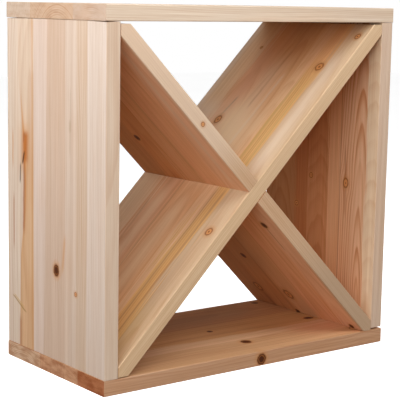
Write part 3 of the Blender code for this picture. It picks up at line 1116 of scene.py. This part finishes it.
# %% [markdown]
# ## Screws and dowels
#
# The screws sit just under the faces of the top and bottom boards. One is turned like the drills,
# with its thread as ridges, and gets a cross recess. The other eleven are copies, each with a mesh
# of its own. The dowels are hidden in the joints, so the CAD ones stay and get a beech finish.

# %% One screw


def screw_profile():
    """From the tip up to the flat of the head, with the top of the head at height 0."""
    core, thread, shank = 1.4 * MM, SCREW_THREAD, 1.7 * MM
    steps = [(0.05 * MM, -50.0 * MM), (core, -45.0 * MM)]
    for turn_number in range(11):
        foot = (-45.0 + 2.6 * turn_number) * MM
        steps += [
            (core, foot + 0.5 * MM),
            (thread, foot + 1.2 * MM),
            (thread, foot + 1.4 * MM),
            (core, foot + 2.1 * MM),
        ]
    neck = -0.5 * MM - (SCREW_HEAD - shank)
    steps += [(shank, -16.0 * MM), (shank, neck), (SCREW_HEAD, -0.5 * MM), (SCREW_HEAD, -0.12 * MM)]
    steps += [(SCREW_HEAD - 0.12 * MM, 0.0)]
    return steps


def recess_cutter(turn):
    """One arm of the cross: a thin block whose lower face is drawn in."""
    arm = add_block("recess", (4.6 * MM, 0.9 * MM, 2.9 * MM), (0.0, 0.0, -0.95 * MM))
    make_active(arm)
    bpy.ops.object.transform_apply(location=True, rotation=False, scale=False)
    bpy.ops.object.mode_set(mode="EDIT")
    select_where(arm, "FACE", lambda face: face.normal.z < -0.9)
    bpy.ops.transform.resize(value=(0.35, 0.6, 1.0), center_override=(0.0, 0.0, -2.4 * MM))
    bpy.ops.object.mode_set(mode="OBJECT")
    arm.rotation_euler = (0.0, 0.0, turn)
    bpy.ops.object.transform_apply(location=False, rotation=True, scale=False)
    return arm


first_screw = turned("screw_pattern", screw_profile(), 32)
for quarter in (0.0, math.pi / 2):
    cut_with(first_screw, recess_cutter(quarter))
soft_shade(first_screw, 40)
report(first_screw)

# %% The zinc and beech finishes


def zinc():
    """Bright zinc plate, a little cloudy and slightly yellow."""
    finish = Finish(bpy.data.materials.new("zinc_plate"))
    here = finish.node("TexCoord").outputs["Object"]
    cloud = finish.noise(here, (900.0, 900.0, 900.0), 3.0)
    colour = finish.blend(cloud + 0.5, (0.52, 0.50, 0.42, 1.0), (0.72, 0.71, 0.68, 1.0))
    wear = finish.noise(here, (2500.0, 2500.0, 300.0), 2.0)
    relief = finish.node(
        "Bump", None, {"Strength": 0.3, "Distance": 0.00005, "Height": wear}
    ).outputs["Normal"]
    finish.surface(Base_Color=colour, Metallic=1.0, Roughness=cloud * 0.25 + 0.34, Normal=relief)
    return finish.owner


def beech():
    """Turned beech: pale pink-brown with short dark flecks along the dowel."""
    finish = Finish(bpy.data.materials.new("beech_dowel"))
    here = finish.node("TexCoord").outputs["Object"]
    fleck = finish.noise(here, (2600.0, 2600.0, 420.0), 2.0)
    rings = finish.noise(here, (420.0, 60.0, 12.0), 2.0)
    colour = finish.blend(rings + 0.5, (0.60, 0.40, 0.25, 1.0), (0.70, 0.50, 0.34, 1.0))
    colour = finish.blend(finish.smooth(fleck, 0.05, 0.25) * 0.6, colour, (0.36, 0.20, 0.11, 1.0))
    relief = finish.node(
        "Bump", None, {"Strength": 0.4, "Distance": 0.0001, "Height": fleck}
    ).outputs["Normal"]
    finish.surface(Base_Color=colour, Roughness=fleck * 0.2 + 0.62, Normal=relief)
    return finish.owner


zinc_plate = zinc()
beech_wood = beech()

# %% Every screw and dowel in its place

first_screw.data.materials.clear()
first_screw.data.materials.append(zinc_plate)
for corner in CORNERS:
    at_top = corner.startswith("top")
    for row in SCREW_ROWS:
        node = f"screw_{corner}_{row}"
        lowest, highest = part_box(node)
        x, y, _ = middle_of(node)
        screw = first_screw.copy()
        screw.data = first_screw.data.copy()
        screw.name = f"woodscrew_{corner}_{row}"
        bpy.context.scene.collection.objects.link(screw)
        face = highest[2] if at_top else lowest[2]
        settle(screw, 0.0, (x, y, face), upside_down=not at_top)
        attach(screw, "case")
        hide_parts(node)
    for row in DOWEL_ROWS:
        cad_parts[f"dowel_{corner}_{row}"].material_slots[0].material = beech_wood
bpy.data.objects.remove(first_screw, do_unlink=True)
print("12 screws and 8 dowels are in")

# %% [markdown]
# ## Floor, light and camera
#
# The rack stands on a pale floor in soft light that comes mostly from above and from the front
# left, so the left side is bright at the top and the inside of the case is in shade.

# %% Floor


def stage_finish():
    finish = Finish(bpy.data.materials.new("pale_floor"))
    here = finish.node("TexCoord").outputs["Object"]
    mottle = finish.noise(here, (3.0, 3.0, 3.0), 2.0)
    tone = finish.blend(mottle + 0.5, (0.86, 0.86, 0.86, 1.0), (0.90, 0.90, 0.90, 1.0))
    finish.surface(Base_Color=tone, Roughness=0.9, Emission_Color=tone)
    finish.shader.inputs["Emission Strength"].default_value = 1.0
    return finish.owner


clear_selection()
bpy.ops.mesh.primitive_plane_add(size=12.0, location=(0.0, 0.0, -0.2 * MM))
floor = bpy.context.active_object
floor.name = "floor"
floor.data.materials.append(stage_finish())
floor.visible_diffuse = False
floor.visible_glossy = False
print("floor is", floor.dimensions.x, "m wide")

# %% Lights

AIM = Vector((0.0, 0.0, 0.25))


def softbox(name, place, width, power):
    """A square lamp that faces the middle of the rack."""
    clear_selection()
    bpy.ops.object.light_add(type="AREA", location=place)
    lamp = bpy.context.active_object
    lamp.name = name
    lamp.data.shape = "RECTANGLE"
    lamp.data.size = width
    lamp.data.size_y = width
    lamp.data.energy = power
    direction = AIM - Vector(place)
    lamp.rotation_euler = direction.to_track_quat("-Z", "Y").to_euler()


LIGHTS = [  # name, place, width and height in metres, power in watts
    ("over_front", (0.0, -1.0, 1.6), 1.0, 9.6),
    ("over", (-0.2, -0.2, 1.0), 0.6, 1.6),
    ("near_left", (-0.9, -0.1, 0.9), 0.5, 5.0),
    ("far_left", (-2.1, -0.9, 0.8), 0.8, 6.9),
    ("front_left", (-1.5, -1.5, 0.9), 1.0, 14.9),
    ("front_right", (1.2, -1.6, 1.4), 1.0, 12.4),
    ("back_left", (-1.2, 1.2, 1.5), 1.0, 8.1),
    ("right", (2.0, 0.22, 0.7), 0.6, 13.0),
]
for name, place, width, power in LIGHTS:
    softbox(name, place, width, power)


def set_world(white, above, below):
    """White where the camera looks past the floor. The rack gets a soft grey fill from the room,
    and what the floor would throw back."""
    world = bpy.data.worlds.new("studio")
    bpy.context.scene.world = world
    sky = Finish(world, "Background")
    way = sky.node("SeparateXYZ", None, {0: sky.node("TexCoord").outputs["Generated"]})
    upward = sky.math("GREATER_THAN", Amount(sky, way.outputs["Z"]), 0.0)
    seen = sky.node("LightPath").outputs["Is Camera Ray"]
    sky.surface(Color=sky.blend(seen, sky.blend(upward, below, above), white), Strength=1.0)


WHITE = (1.0, 1.0, 1.0, 1.0)
ROOM_GREY = (0.10, 0.10, 0.10, 1.0)
WARM_BOUNCE = (0.26, 0.17, 0.11, 1.0)
set_world(WHITE, ROOM_GREY, WARM_BOUNCE)
bpy.context.scene.view_settings.view_transform = "Standard"

# %% Camera

AZIMUTH = math.radians(-37.534)
ELEVATION = math.radians(8.694)
ROLL = math.radians(0.996)
DISTANCE = 1.8722
TARGET = Vector((-0.0040, 0.0, 0.2207))
LENS = 116.34


def add_camera():
    level = math.cos(ELEVATION)
    back = Vector((math.sin(AZIMUTH) * level, -math.cos(AZIMUTH) * level, math.sin(ELEVATION)))
    right = Vector((0.0, 0.0, 1.0)).cross(back).normalized()
    up = back.cross(right)
    turn = Matrix.Rotation(ROLL, 3, back)
    axes = Matrix((turn @ right, turn @ up, back)).transposed()
    data = bpy.data.cameras.new("camera")
    data.lens = LENS
    data.sensor_width = 36.0
    camera = bpy.data.objects.new("camera", data)
    camera.matrix_world = Matrix.Translation(TARGET + back * DISTANCE) @ axes.to_4x4()
    bpy.context.scene.collection.objects.link(camera)
    bpy.context.scene.camera = camera
    return camera


camera = add_camera()
print("camera at", [round(value, 3) for value in camera.location])
